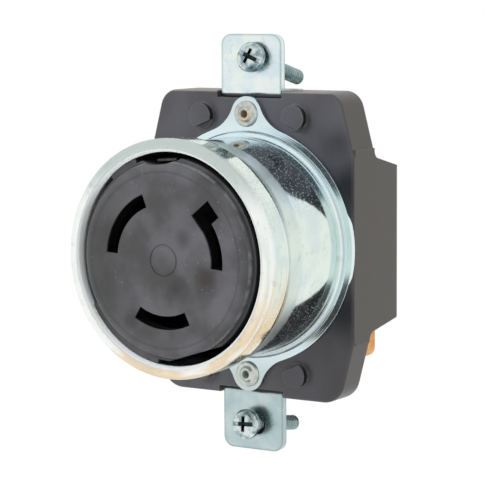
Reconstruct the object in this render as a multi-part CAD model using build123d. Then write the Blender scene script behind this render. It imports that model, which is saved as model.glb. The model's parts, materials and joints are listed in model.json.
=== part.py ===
"""Flush-mount locking power receptacle: steel shell, black mouldings, plated mounting ears.

Frame, millimetres: +X right and +Z up as seen from the front, -Y out of the wall towards the user.
The origin is the centre of the device on the plane where the two ears seat on the wall box.
Angles of the face are counted anticlockwise from +X, as seen from the front.
"""
import os
from math import atan2, cos, degrees, radians, sin, sqrt

from build123d import *

# ---------------------------------------------------------------- driving dimensions
# mounting ears, bent from zinc-plated strip
mount_pitch = 83.34          # centre to centre of the two mounting slots, 3.281 in
slot_to_body = 6.97          # slot centre to the end of the housing
ear_t = 1.7                  # strip thickness
ear_w = 15.7
ear_reach = 5.75             # slot centre to the outer end of the ear
ear_corner_r = 2.5
ear_setback = 1.0            # ear front lies this far behind the housing front
ear_slot_w = 6.4
ear_slot_h = 4.4
ear_bend_r = 1.3             # outside radius of the bends
ear_foot_reach = 4.2         # foot goes this far past the rivet, towards the centre

# housing moulding
body_half_w = 26.9
body_side_h = 20.6           # the sides are upright up to this height, then slant inwards
side_slant = 3.7             # how far they come in up to the ends
body_top_corner_r = 4.5
body_bottom_corner_r = 5.5
flange_t_top = 9.7
flange_t_bottom = 7.4
body_depth = 21.9            # housing front to its rear face
block_root_top = 20.1        # half heights of the rear block at the flange and at the rear face
block_root_bottom = 19.4
block_rear_top = 17.2
block_rear_bottom = 17.0
block_edge_r = 2.2
block_root_r = 2.0
front_edge_r = 0.6
notch_half_w = 8.53
notch_depth = 1.55
side_wall = 3.3
block_wall = 2.4             # above and below the cavity, at the rear face
cavity_corner_r = 2.0
spigot_step = 4.0            # the insulator's spigot in the front recess is this much smaller
spigot_len = 3.0
post_r = 3.2
pad_gap = 0.5                # the raised pad behind the left pole stops this far from the middle
boss_x = 12.3                # the four D-shaped bosses beside the ears
boss_to_end = 5.75           # their centres to the end of the housing
boss_base_r = 3.1
boss_base_h = 0.3
boss_d_r = 2.9
boss_d_h = 1.76
boss_flat = 1.86

# shell, drawn from plated steel sheet
sheet_t = 1.2
shell_to_rivet = 4.95        # outside of the main cylinder to the middle of the rivets
collar_rise = 1.35           # the collar is this much larger in radius
collar_back = 26.8           # distances in front of the housing front
step_back = 22.2
lip_front = 33.7
hem_gap = 0.45
hem_len = 5.6
shell_root_r = 1.2
skirt_w = 2.65               # width of the shell's flange
rivet_to_notch = 3.55        # rivet centre to the floor of the ear's notch
rivet_lobe_r = 3.95
rivet_blend_r = 9.0

# insulator
face_front = 34.6
insul_room = 1.45            # between the insulator and the bore of the shell
cap_step = 0.7               # the insulator's cap is this much smaller in radius
cap_len = 2.1
shoulder_r = 1.9
face_t = 3.2
rib_room = 0.5               # between the insulator's ribs and the bore of the shell
rib_sectors = ((112, 131), (209, 262))
key_top_angle = 94.5
key_top_depth = 1.55         # grooves and flats are measured from the outside of the insulator
key_top_r = 13.5
key_bottom_angle = 288
key_bottom_depth = 1.1
dip_angle = 202
dip_depth = 1.1
dip_r = 3.0
slot_in_r = 12.0
slot_out_r = 14.95
foot_angle = 39              # straight-sided foot of the L-shaped slot, its middle line's angle
foot_in_r = 11.9
foot_out_r = 17.2
foot_low = 1.15              # its sides' distances from that line
foot_high = 3.25
foot_depth = 9.0
mark_r = 3.5
mark_w = 0.35
mark_depth = 0.15

# contacts: name -> (slot start, slot end, terminal x sign, terminal z sign)
poles = {
    "right": (-5, 33, 1, -1),
    "left": (111, 176, -1, 1),
    "bottom": (239, 296, -1, -1),
}
jaw_t = 0.8
jaw_half_gap = 1.7
jaw_pinch = 0.9
jaw_mouth = 1.45
jaw_mouth_back = 3.6         # mouth of the jaws behind the inside of the face
jaw_pinch_back = 5.0
jaw_relax_back = 12.0
jaw_len = 23.1
jaw_end_gap = 1.5            # degrees left free at each end of a slot
stem_half_angle = 10
backup_t = 0.5
backup_mouth_back = 3.4
pocket_clear = 0.35
pocket_end_gap = 2.5
tail_t = 1.2
tail_w = 7.0

# terminals
lug_to_side = 9.4            # wire hole's centre to the housing's side and end
lug_to_end = 12.2
lug_w = 12.0
lug_h = 7.0
lug_len = 7.4
lug_corner_r = 2.0
wire_r = 2.7
lug_collar_r = 3.2
lug_collar_h = 2.6
set_screw_r = 1.75
set_screw_len = 7.0
set_pad_r = 1.5
set_pad_t = 1.0
set_pad_rest = 0.15          # pad above the wire hole when open
thread_pitch = 25.4 / 32
hex_key_w = 2.0
hex_key_depth = 2.0

# ground terminal on the top ear
ground_x = 12.3
ground_to_notch = 5.95       # screw centre to the floor of the ear's notch
ground_r = 2.08
ground_len = 8.0
ground_head_r = 3.9
ground_head_h = 2.6
ground_crown_r = 7.4         # the head's top is part of a ball
ground_slot_w = 1.15
ground_turns = 3
clamp_w = 9.0
clamp_t = 1.5
clamp_corner_r = 0.8
wing_corner_r = 1.5
ground_bore_depth = 6.0

# fasteners
screw_r = 1.75
screw_len = 21.2             # under the head
screw_tip = 0.7
neck_r = 1.35                # plain neck that the retaining washer sits on
neck_start = 4.6             # from under the head
neck_end = 6.6
head_r = 3.43
head_h = 2.1
head_rim_h = 0.8             # upright rim below the crown
head_flat_r = 1.9            # flat middle of the crown
head_shoulder_r = 3.1
head_shoulder_drop = 0.65    # crown's shoulder below its flat middle
drive_slot_w = 0.95
drive_depth = 1.05
drive_cross_w = 0.85
drive_cross_len = 3.6
drive_cross_depth = 1.6
drive_point_len = 1.2        # the cross tapers to this at its bottom
drive_point_w = 0.7
top_screw_x = 0.9
top_screw_tilt = 14.3        # the loose screws droop in their slots
top_screw_out = 1.85         # under the head to the middle of the ear, along the screw
top_drive_turn = -22
bottom_screw_x = 0.0
bottom_screw_tilt = 8.8
bottom_screw_out = 3.3
bottom_drive_turn = 3
washer_r = 4.2
washer_t = 0.8
washer_corner_r = 1.0
top_washer_back = 3.5        # middle of the ear to the washer, along the screw
bottom_washer_back = 1.5
rivet_r = 1.75
rivet_head_r = 2.95
rivet_head_t = 0.5
rivet_ring_r = 1.6
rivet_ring_h = 1.05
rivet_hole_r = 0.9
rivet_hole_depth = 3.0
rivet_tail_r = 2.8
rivet_tail_t = 0.8
rivet_bevel = 0.3
tie_r = 1.4                  # screws that tie cover, housing and insulator together
tie_head_r = 2.6
tie_head_h = 1.7
tie_grip = 10.0
tie_hole_extra = 2.0         # hole in the insulator beyond the screw's end
tie_slot_depth = 0.8
tie_top_r = 11.0
tie_low_r = 10.0
tie_places = ((tie_top_r, 81), (tie_low_r, 200), (tie_low_r, -35))   # radius, angle
cover_t = 2.0
cover_boss_h = 2.2
cover_boss_drop = 0.5        # the bosses stop short of the rear face
tongue_root = 2.0            # how far the cover's tongues reach in over its plate
tongue_short = 1.3           # and how far they stop short of the block's edge

# ground spring in the top keyway
spring_t = 0.5
spring_w = 5.0
spring_foot = 3.6
spring_len = 30.5
spring_straight = 4.0        # upright start of the leaf
spring_tip_rise = 0.3
spring_tip_lean = 0.08       # slope of the leaf at its tip

# clearances
running = 0.05
fit_gap = 0.1
hole_gap = 0.1
tail_gap = 0.2
bore_gap = 0.5               # room round the ground screw in the housing
over = 1.0                   # cutting shapes run this far past the faces they open

# ---------------------------------------------------------------- derived places
front_y = -(ear_setback + ear_t)
top_back_y = front_y + flange_t_top
bottom_back_y = front_y + flange_t_bottom
back_y = front_y + body_depth
floor_y = bottom_back_y
body_half_h = mount_pitch / 2 - slot_to_body
body_top_half_w = body_half_w - side_slant
cavity_half_w = body_half_w - side_wall
cavity_half_h = block_rear_bottom - block_wall
boss_z = body_half_h - boss_to_end
lug_x = body_half_w - lug_to_side
lug_z = body_half_h - lug_to_end
face_y = front_y - face_front
inner_face_y = face_y + face_t
notch_z = body_half_h - notch_depth
rivet_z = notch_z - rivet_to_notch
ground_z = notch_z - ground_to_notch
shell_r = rivet_z - shell_to_rivet
shell_bore = shell_r - sheet_t
collar_r = shell_r + collar_rise
skirt_r = shell_r + skirt_w
insul_r = shell_bore - insul_room
rib_r = shell_bore - rib_room
cap_r = insul_r - cap_step
spigot_r = insul_r - spigot_step
key_top_floor = insul_r - key_top_depth
key_bottom_floor = insul_r - key_bottom_depth
dip_floor = insul_r - dip_depth
ear_mid_y = -ear_t / 2
jaw_r = (slot_in_r + slot_out_r) / 2
jaw_mouth_y = inner_face_y + jaw_mouth_back
jaw_back_y = jaw_mouth_y + jaw_len
pocket_half = jaw_half_gap + jaw_t + backup_t + running + pocket_clear
tie_head_y = back_y - tie_head_h - fit_gap
post_top_y = back_y - cover_t - cover_boss_h
spigot_y = front_y + spigot_len


def tail_y(z_sign):
    """Front face of a contact's tail: it lies on the back of the housing flange."""
    return top_back_y if z_sign > 0 else bottom_back_y


# ---------------------------------------------------------------- helpers
def at_y(y):
    """Front-view plane at y: local x is X and local y is Z."""
    return Plane.XZ.offset(-y)


def slab(sketch, y0, y1):
    """A front-view sketch, filled from y0 to y1."""
    return extrude(at_y(y1) * sketch, amount=y1 - y0)


def box(x0, x1, y0, y1, z0, z1):
    low, high = (min(x0, x1), min(y0, y1), min(z0, z1)), (max(x0, x1), max(y0, y1), max(z0, z1))
    size = [b - a for a, b in zip(low, high)]
    return Pos(*[(a + b) / 2 for a, b in zip(low, high)]) * Box(*size)


def rod(x, z, r, y0, y1):
    """Round bar along Y."""
    return slab(Pos(x, z) * Circle(r), y0, y1)


def polar(r, angle):
    return (r * cos(radians(angle)), r * sin(radians(angle)))


def arc_sector(r0, r1, a0, a1):
    """Front-view ring sector from angle a0 to a1."""
    mid = (a0 + a1) / 2
    edge = (Line(polar(r0, a0), polar(r1, a0))
            + ThreePointArc(polar(r1, a0), polar(r1, mid), polar(r1, a1))
            + Line(polar(r1, a1), polar(r0, a1))
            + ThreePointArc(polar(r0, a1), polar(r0, mid), polar(r0, a0)))
    return make_face(edge)


def turned(points):
    """Solid of revolution about the device axis, from points (radius, y)."""
    return revolve(make_face(Polyline(*points, close=True)), Axis.Y)


def swept(points, a0, a1):
    """The same, only from angle a0 to a1."""
    face = make_face(Polyline(*points, close=True))
    return Rot(0, -a1, 0) * revolve(face, Axis.Y, a1 - a0)


# ---------------------------------------------------------------- shell
def rivet_lobe(sign):
    """Ear of the shell flange round a rivet, blended into the round flange by hollow arcs."""
    reach, tip = skirt_r + rivet_blend_r, rivet_lobe_r + rivet_blend_r
    blend_z = (reach ** 2 - tip ** 2 + rivet_z ** 2) / (2 * rivet_z)
    blend_x = sqrt(reach ** 2 - blend_z ** 2)
    low = (blend_x * skirt_r / reach, blend_z * skirt_r / reach)
    k = rivet_lobe_r / tip
    high = (blend_x * k, rivet_z + (blend_z - rivet_z) * k)
    web = make_face(Polyline(low, high, (0, rivet_z), (-high[0], high[1]), (-low[0], low[1]),
                             (0, shell_bore), close=True))
    web -= Pos(blend_x, blend_z) * Circle(rivet_blend_r)
    web -= Pos(-blend_x, blend_z) * Circle(rivet_blend_r)
    lobe = web + Pos(0, rivet_z) * Circle(rivet_lobe_r)
    return lobe if sign > 0 else mirror(lobe, about=Plane.XZ)


def shell_cup():
    """Drawn cup: flange, cylinder, expanded collar and a hem folded back inside."""
    hem_in = collar_r - 2 * sheet_t - hem_gap
    roll = (collar_r - hem_in) / 2
    fold = hem_gap / 2
    roll_r = collar_r - roll
    lip_y = front_y - lip_front
    roll_y = lip_y + roll
    collar_y, step_y = front_y - collar_back, front_y - step_back
    hem_y = roll_y + hem_len
    root_y = front_y - sheet_t

    def step_curve(r_front, r_back):
        """Two equal arcs, each turning by angle turn, that lead from the collar down to the cylinder."""
        turn = 2 * atan2(r_front - r_back, step_y - collar_y)
        arc_r = (step_y - collar_y) / (2 * sin(turn))
        dr, dy = arc_r * (1 - cos(turn / 2)), arc_r * sin(turn / 2)
        middle = ((r_front + r_back) / 2, (collar_y + step_y) / 2)
        return (ThreePointArc((r_front, collar_y), (r_front - dr, collar_y + dy), middle)
                + ThreePointArc(middle, (r_back + dr, step_y - dy), (r_back, step_y)))

    root_r = shell_r + shell_root_r
    outline = (Line((shell_bore, front_y), (root_r, front_y))
               + Line((root_r, front_y), (root_r, root_y))
               + RadiusArc((root_r, root_y), (shell_r, root_y - shell_root_r), shell_root_r)
               + Line((shell_r, root_y - shell_root_r), (shell_r, step_y))
               + step_curve(collar_r, shell_r)
               + Line((collar_r, collar_y), (collar_r, roll_y))
               + ThreePointArc((collar_r, roll_y), (roll_r, lip_y), (hem_in, roll_y))
               + Line((hem_in, roll_y), (hem_in, hem_y))
               + Line((hem_in, hem_y), (hem_in + sheet_t, hem_y))
               + Line((hem_in + sheet_t, hem_y), (hem_in + sheet_t, roll_y))
               + ThreePointArc((hem_in + sheet_t, roll_y), (roll_r, roll_y - fold),
                               (collar_r - sheet_t, roll_y))
               + Line((collar_r - sheet_t, roll_y), (collar_r - sheet_t, collar_y))
               + step_curve(collar_r - sheet_t, shell_bore)
               + Line((shell_bore, step_y), (shell_bore, front_y)))
    cup = revolve(make_face(outline), Axis.Y)
    flange = Circle(skirt_r) + rivet_lobe(1) + rivet_lobe(-1)
    flange -= Circle(shell_r)
    for sign in (1, -1):
        flange -= Pos(0, sign * rivet_z) * Circle(rivet_r + hole_gap)
    return cup + slab(flange, root_y, front_y)


# ---------------------------------------------------------------- insulator
def keyway(floor_r, r, angle):
    """Round-bottomed groove along the insulator, its floor at radius floor_r."""
    return Pos(*polar(floor_r + r, angle)) * Circle(r)


def pole_pockets(y0, y1):
    """Room behind each slot for its contact and backup spring."""
    inner_r, outer_r = jaw_r - pocket_half, jaw_r + pocket_half
    return [slab(arc_sector(inner_r, outer_r, a0 - pocket_end_gap, a1 + pocket_end_gap), y0, y1)
            for a0, a1, _, _ in poles.values()]


def insulator():
    start_r = cap_r - shoulder_r
    bend = shoulder_r * sqrt(0.5)
    cap_y = face_y + cap_len
    outline = (Line((0, face_y), (start_r, face_y))
               + ThreePointArc((start_r, face_y), (start_r + bend, face_y + shoulder_r - bend),
                               (cap_r, face_y + shoulder_r))
               + Line((cap_r, face_y + shoulder_r), (cap_r, cap_y))
               + Line((cap_r, cap_y), (insul_r, cap_y))
               + Line((insul_r, cap_y), (insul_r, front_y))
               + Line((insul_r, front_y), (spigot_r, front_y))
               + Line((spigot_r, front_y), (spigot_r, spigot_y))
               + Line((spigot_r, spigot_y), (0, spigot_y))
               + Line((0, spigot_y), (0, face_y)))
    block = revolve(make_face(outline), Axis.Y)
    for a0, a1 in rib_sectors:
        block += slab(arc_sector(spigot_r, rib_r, a0, a1), cap_y, front_y)
    for floor_r, r, angle in ((key_top_floor, key_top_r, key_top_angle), (dip_floor, dip_r, dip_angle)):
        block -= slab(keyway(floor_r, r, angle), face_y - over, front_y)
    flat_depth = 2 * (rib_r - key_bottom_floor)
    flat = Pos(key_bottom_floor + flat_depth / 2, 0) * Rectangle(flat_depth, 2 * insul_r)
    block -= slab(Rot(0, 0, key_bottom_angle) * flat, face_y - over, front_y)
    for a0, a1, _, _ in poles.values():
        block -= slab(arc_sector(slot_in_r, slot_out_r, a0, a1), face_y - over, inner_face_y + over)
    foot = Pos((foot_in_r + foot_out_r) / 2, (foot_high - foot_low) / 2) * Rectangle(
        foot_out_r - foot_in_r, foot_high + foot_low)
    link = arc_sector(slot_in_r, slot_out_r, sum(poles["right"][:2]) / 2, foot_angle)
    block -= slab(Rot(0, 0, foot_angle) * foot + link, face_y - over, face_y + foot_depth)
    for pocket in pole_pockets(inner_face_y, spigot_y + over):
        block -= pocket
    for r, angle in tie_places:
        x, z = polar(r, angle)
        block -= rod(x, z, tie_r + hole_gap, spigot_y - tie_grip - tie_hole_extra, spigot_y + over)
    ring = Circle(mark_r) - Circle(mark_r - mark_w)
    block -= slab(ring, face_y - over, face_y + mark_depth)
    return block - spring_foot_seat(hole_gap)


def spring_foot_seat(gap):
    """Where the ground spring's foot lies between the insulator and the housing."""
    turn = key_top_angle - 90
    outer = key_top_floor + spring_t + 2 * gap + over
    inner = key_top_floor - spring_foot - gap
    foot = Pos(0, (outer + inner) / 2) * Rectangle(spring_w + 2 * gap, outer - inner)
    return slab(Rot(0, 0, turn) * foot, front_y - spring_t - gap, front_y)


def ground_spring():
    """Bowed leaf that bears on the shell, held by a foot under the insulator."""
    half = spring_w / 2
    low = key_top_floor + key_top_r - sqrt(key_top_r ** 2 - half ** 2) + running
    high = sqrt(shell_bore ** 2 - half ** 2) - 2 * fit_gap
    tip_y, base_y = front_y - spring_len, front_y - spring_t / 2
    mid_r = low + spring_t / 2
    top_r = high - spring_t / 2
    bow_y = front_y - spring_straight
    path = (Line((key_top_floor - spring_foot, base_y), (mid_r, base_y))
            + Line((mid_r, base_y), (mid_r, bow_y))
            + Spline((mid_r, bow_y), (top_r, (front_y + tip_y) / 2), (mid_r + spring_tip_rise, tip_y),
                     tangents=((0, -1), (-spring_tip_lean, -1))))
    strip = trace(path, line_width=spring_t)
    leaf = extrude(strip, amount=spring_w / 2, both=True)
    return Rot(0, -key_top_angle, 0) * leaf


# ---------------------------------------------------------------- contacts
def jaw_points(inner, t, mouth_y, back_y_, web_t):
    """U profile (radius, y): mouth, pinch, straight legs and the web that joins them."""
    pinch_y, relax_y = jaw_mouth_y + jaw_pinch_back, jaw_mouth_y + jaw_relax_back

    def half_gap(y):
        stations = ((jaw_mouth_y, jaw_mouth), (pinch_y, jaw_pinch), (relax_y, jaw_half_gap))
        for (y0, g0), (y1, g1) in zip(stations, stations[1:]):
            if y <= y1:
                return g0 + (g1 - g0) * (y - y0) / (y1 - y0)
        return jaw_half_gap

    ys = [mouth_y] + [y for y in (pinch_y, relax_y) if y > mouth_y + running]
    legs = [(half_gap(y) + inner, y) for y in ys]
    outside = [(g + t, y) for g, y in legs] + [(jaw_half_gap + inner + t, back_y_)]
    inside = [(jaw_half_gap + inner, back_y_ - web_t)] + legs[::-1]
    right = outside + [(-g, y) for g, y in outside[::-1]]
    left = [(-g, y) for g, y in inside[::-1]] + inside
    return [(jaw_r + g, y) for g, y in right + left]


def stem(a_mid, half_angle, gap, y0, y1):
    half_t = jaw_t / 2 + gap
    return slab(arc_sector(jaw_r - half_t, jaw_r + half_t, a_mid - half_angle, a_mid + half_angle), y0, y1)


def tail_outline(name):
    """Front-view strip from the contact to its lug: across, then out to the terminal."""
    a0, a1, sx, sz = poles[name]
    cx, cz = polar(jaw_r, (a0 + a1) / 2)
    half = tail_w / 2
    x_t, z_end = sx * lug_x, sz * (lug_z + lug_h / 2)
    across_z = max(-cavity_half_h + half + fit_gap, min(cavity_half_h - half - fit_gap, cz))
    x_low, x_high = min(cx - sx * half, x_t + sx * half), max(cx - sx * half, x_t + sx * half)
    across = Pos((x_low + x_high) / 2, across_z) * Rectangle(x_high - x_low, 2 * half)
    z0, z1 = min(across_z - half, z_end), max(across_z + half, z_end)
    if sz > 0:
        z0 = across_z - half
    else:
        z1 = across_z + half
    out = Pos(x_t, (z0 + z1) / 2) * Rectangle(2 * half, z1 - z0)
    return across + out


def contact(name):
    a0, a1, _, sz = poles[name]
    mid = (a0 + a1) / 2
    points = jaw_points(0, jaw_t, jaw_mouth_y, jaw_back_y, jaw_t)
    jaws = swept(points, a0 + jaw_end_gap, a1 - jaw_end_gap)
    y = tail_y(sz)
    leg = stem(mid, stem_half_angle, 0, jaw_back_y - jaw_t, y + tail_t)
    return jaws + leg + slab(tail_outline(name), y, y + tail_t)


def backup_spring(name):
    """Steel clip round the jaws, with a window for the stem."""
    a0, a1, _, _ = poles[name]
    mid = (a0 + a1) / 2
    inner = jaw_t + running
    mouth_y, end_y = jaw_mouth_y + backup_mouth_back, jaw_back_y + running + backup_t
    points = jaw_points(inner, backup_t, mouth_y, end_y, backup_t)
    clip = swept(points, a0 + 2 * jaw_end_gap, a1 - 2 * jaw_end_gap)
    return clip - stem(mid, stem_half_angle + 1, hole_gap, jaw_back_y - over, jaw_back_y + backup_t + over)


# ---------------------------------------------------------------- terminals
def lug_front_y(sz):
    return tail_y(sz) + tail_t


def lug_mid_y(sz):
    return lug_front_y(sz) + lug_len / 2


def along_z(x, y, r, z0, z1):
    """Round bar along Z."""
    low, high = min(z0, z1), max(z0, z1)
    return Pos(x, y, (low + high) / 2) * Cylinder(r, high - low)


def terminal_lug(name):
    _, _, sx, sz = poles[name]
    x, y0 = sx * lug_x, lug_front_y(sz)
    z_out = sz * (lug_z + lug_h / 2)
    block = box(x - lug_w / 2, x + lug_w / 2, y0, y0 + lug_len, z_out, sz * (lug_z - lug_h / 2))
    corners = [e for e in block.edges().filter_by(Axis.Y) if abs(e.center().Z - z_out) < 0.01]
    block = fillet(corners, lug_corner_r)
    block += along_z(x, lug_mid_y(sz), lug_collar_r, sz * lug_z, z_out + sz * lug_collar_h)
    block -= rod(x, sz * lug_z, wire_r, y0 - over, y0 + lug_len + over)
    thread_end = z_out + sz * (lug_collar_h + over)
    return block - along_z(x, lug_mid_y(sz), set_screw_r + running, sz * lug_z, thread_end)


def pad_inner_z():
    return lug_z + wire_r + set_pad_rest


def pressure_pad(name):
    _, _, sx, sz = poles[name]
    z = sz * pad_inner_z()
    return along_z(sx * lug_x, lug_mid_y(sz), set_pad_r, z, z + sz * set_pad_t)


def set_screw(name):
    """Headless clamping screw with a hexagon socket."""
    _, _, sx, sz = poles[name]
    x, y = sx * lug_x, lug_mid_y(sz)
    z0 = pad_inner_z() + set_pad_t + running
    z1 = z0 + set_screw_len
    screw = along_z(x, y, set_screw_r, sz * z0, sz * z1)
    screw = chamfer(screw.edges().filter_by(GeomType.CIRCLE), set_screw_r - set_pad_r)
    key = extrude(RegularPolygon(hex_key_w / 2, 6, major_radius=False), amount=hex_key_depth + over)
    place = Pos(x, y, z1 - hex_key_depth) if sz > 0 else Pos(x, y, -z1 + hex_key_depth) * Rot(180, 0, 0)
    return screw - place * key


def clamp_front_y():
    return top_back_y + ear_t + ground_turns * thread_pitch + running


def ground_clamp():
    plate = RectangleRounded(clamp_w, clamp_w, clamp_corner_r) - Circle(ground_r + running)
    return slab(Pos(ground_x, ground_z) * plate, clamp_front_y(), clamp_front_y() + clamp_t)


def ground_screw():
    y = clamp_front_y() + clamp_t + running
    head = slab(Pos(ground_x, ground_z) * RegularPolygon(ground_head_r, 6), y, y + ground_head_h)
    crown = Pos(ground_x, y + ground_head_h - ground_crown_r, ground_z) * Sphere(ground_crown_r)
    screw = (head & crown) + rod(ground_x, ground_z, ground_r, y - ground_len, y)
    drive = box(ground_x - ground_slot_w / 2, ground_x + ground_slot_w / 2,
                y + ground_head_h - drive_depth, y + ground_head_h + over,
                ground_z - ground_head_r - over, ground_z + ground_head_r + over)
    return screw - drive


# ---------------------------------------------------------------- ears
def ear(sign):
    """J-shaped bracket: slotted ear, leg through the housing's notch, foot behind its flange."""
    foot_y = top_back_y if sign > 0 else bottom_back_y
    z_in, z_out = notch_z + running, notch_z + running + ear_t
    tip_z = mount_pitch / 2 + ear_reach
    foot_z = rivet_z - ear_foot_reach
    outline = Polyline((-ear_t, z_in), (-ear_t, tip_z), (0, tip_z), (0, z_out), (foot_y + ear_t, z_out),
                       (foot_y + ear_t, foot_z), (foot_y, foot_z), (foot_y, z_in), close=True)
    profile = make_face(outline)
    outer = [v for v in profile.vertices()
             if (abs(v.X + ear_t) < 0.01 and abs(v.Y - z_in) < 0.01)
             or (abs(v.X - foot_y - ear_t) < 0.01 and abs(v.Y - z_out) < 0.01)]
    profile = fillet(outer, ear_bend_r)
    side = Plane(origin=(0, 0, 0), x_dir=(0, 1, 0), z_dir=(1, 0, 0))
    part = extrude(side * profile, amount=ear_w / 2, both=True)
    tips = [e for e in part.edges().filter_by(Axis.Y) if abs(e.center().Z - tip_z) < 0.01]
    part = fillet(tips, ear_corner_r)
    if sign > 0:
        wing = box(0, ground_x + clamp_w / 2, foot_y, foot_y + ear_t,
                   ground_z - clamp_w / 2, ground_z + clamp_w / 2)
        wing_edges = [e for e in wing.edges().filter_by(Axis.Y) if e.center().X > ground_x]
        part += fillet(wing_edges, wing_corner_r)
        part -= rod(ground_x, ground_z, ground_r + running, foot_y - over, foot_y + ear_t + over)
    slot = Pos(0, mount_pitch / 2) * SlotOverall(ear_slot_w, ear_slot_h)
    part -= slab(slot, -ear_t - over, over)
    part -= rod(0, rivet_z, rivet_r + hole_gap, foot_y - over, foot_y + ear_t + over)
    return part if sign > 0 else mirror(part, about=Plane.XY)


# ---------------------------------------------------------------- fasteners
def screw_place(x, sign, tilt):
    """Frame whose Y axis runs down the screw, from the middle of the ear."""
    return Pos(x, ear_mid_y, sign * mount_pitch / 2) * Rot(-tilt, 0, 0)


def mounting_screw(out, drive_turn):
    """Pan head screw along +Y with a combination slot and cross drive."""
    y = -out
    top, rim = y - head_h, y - head_rim_h
    outline = (Line((0, top), (head_flat_r, top))
               + Spline((head_flat_r, top), (head_shoulder_r, top + head_shoulder_drop), (head_r, rim),
                        tangents=((1, 0), (0.05, 1)))
               + Line((head_r, rim), (head_r, y))
               + Line((head_r, y), (screw_r, y))
               + Line((screw_r, y), (screw_r, y + neck_start))
               + Line((screw_r, y + neck_start), (neck_r, y + neck_start))
               + Line((neck_r, y + neck_start), (neck_r, y + neck_end))
               + Line((neck_r, y + neck_end), (screw_r, y + neck_end))
               + Line((screw_r, y + neck_end), (screw_r, y + screw_len - screw_tip))
               + Line((screw_r, y + screw_len - screw_tip), (screw_r - screw_tip, y + screw_len))
               + Line((screw_r - screw_tip, y + screw_len), (0, y + screw_len))
               + Line((0, y + screw_len), (0, top)))
    screw = revolve(make_face(outline), Axis.Y)
    cutter = slab(Rectangle(2 * (head_r + over), drive_slot_w), top - over, top + drive_depth)
    for turn in (0, 90):
        mouth = at_y(top) * Rot(0, 0, turn) * Rectangle(drive_cross_len, drive_cross_w)
        point = at_y(top + drive_cross_depth) * Rot(0, 0, turn) * Rectangle(drive_point_len, drive_point_w)
        cutter += loft([mouth, point])
    return screw - Rot(0, -drive_turn, 0) * cutter


def retainer_washer(back):
    """Fibre washer that keeps the screw from falling out of the ear."""
    plate = RectangleRounded(2 * washer_r, 2 * washer_r, washer_corner_r) - Circle(neck_r + running)
    return slab(plate, back, back + washer_t)


def rivet(sign):
    """Tubular rivet that clamps shell flange, housing and ear foot together."""
    seat = front_y - sheet_t
    tail = (top_back_y if sign > 0 else bottom_back_y) + ear_t
    lip = seat - rivet_ring_h
    body = turned([(0, lip + rivet_bevel), (rivet_hole_r + rivet_bevel, lip),
                   (rivet_ring_r - rivet_bevel / 2, lip), (rivet_ring_r + rivet_bevel, seat - rivet_head_t),
                   (rivet_head_r - rivet_bevel, seat - rivet_head_t), (rivet_head_r, seat - rivet_head_t / 2),
                   (rivet_head_r, seat), (rivet_r, seat), (rivet_r, tail), (rivet_tail_r, tail),
                   (rivet_tail_r - rivet_bevel, tail + rivet_tail_t), (0, tail + rivet_tail_t)])
    hole = rod(0, 0, rivet_hole_r, lip - over, lip + rivet_hole_depth)
    return Pos(0, 0, sign * rivet_z) * (body - hole)


def tie_screw(r, angle):
    x, z = polar(r, angle)
    screw = rod(x, z, tie_head_r, tie_head_y, tie_head_y + tie_head_h)
    screw += rod(x, z, tie_r, spigot_y - tie_grip, tie_head_y)
    slot = Pos(x, z) * Rectangle(2 * (tie_head_r + over), drive_slot_w)
    return screw - slab(slot, tie_head_y + tie_head_h - tie_slot_depth, tie_head_y + tie_head_h + over)


# ---------------------------------------------------------------- housing and cover
def body_outline():
    """Octagon-like front view with slanting upper and lower sides and rounded corners."""
    face = make_face(Polyline(
        (-body_half_w, -body_side_h), (-body_top_half_w, -body_half_h), (body_top_half_w, -body_half_h),
        (body_half_w, -body_side_h), (body_half_w, body_side_h), (body_top_half_w, body_half_h),
        (-body_top_half_w, body_half_h), (-body_half_w, body_side_h), close=True))
    face = fillet([v for v in face.vertices() if v.Y > body_half_h - 0.01], body_top_corner_r)
    face = fillet([v for v in face.vertices() if v.Y < -body_half_h + 0.01], body_bottom_corner_r)
    return face


def block_solid():
    """Deep rear block: drafted top and bottom, hollow fillets at the flange, rounded rear edges."""
    root_top, root_bottom = block_root_top + block_root_r, block_root_bottom + block_root_r
    side = make_face(Polyline(
        (front_y + over, root_top), (top_back_y, root_top), (top_back_y, block_root_top),
        (back_y, block_rear_top), (back_y, -block_rear_bottom), (bottom_back_y, -block_root_bottom),
        (bottom_back_y, -root_bottom), (front_y + over, -root_bottom), close=True))
    roots = [v for v in side.vertices()
             if (abs(v.X - top_back_y) < 0.01 and abs(v.Y - block_root_top) < 0.01)
             or (abs(v.X - bottom_back_y) < 0.01 and abs(v.Y + block_root_bottom) < 0.01)]
    side = fillet(roots, block_root_r * 0.98)
    plane = Plane(origin=(0, 0, 0), x_dir=(0, 1, 0), z_dir=(1, 0, 0))
    block = extrude(plane * side, amount=body_half_w, both=True)
    rear = block.faces().sort_by(Axis.Y)[-1]
    return fillet(rear.edges(), block_edge_r)


def d_boss(sx, sz):
    """Raised disc with a D on it, the flat turned to the device's centre."""
    base = rod(sx * boss_x, sz * boss_z, boss_base_r, front_y - boss_base_h, front_y + over)
    disc = Circle(boss_d_r) & (Pos(boss_d_r - boss_flat, 0) * Rectangle(2 * boss_d_r, 2 * boss_d_r))
    turn = degrees(atan2(sz * boss_z, sx * boss_x))
    upper = slab(Pos(sx * boss_x, sz * boss_z) * Rot(0, 0, turn) * disc, front_y - boss_d_h, front_y + over)
    return base + upper


def tail_channel(name):
    """Slot through the block's wall, open to the rear, that the contact's tail leaves by."""
    _, _, sx, sz = poles[name]
    half = tail_w / 2 + tail_gap
    x = sx * lug_x
    return box(x - half, x + half, tail_y(sz), back_y + over,
               sz * (cavity_half_h - over), sz * (lug_z + lug_h))


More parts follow.
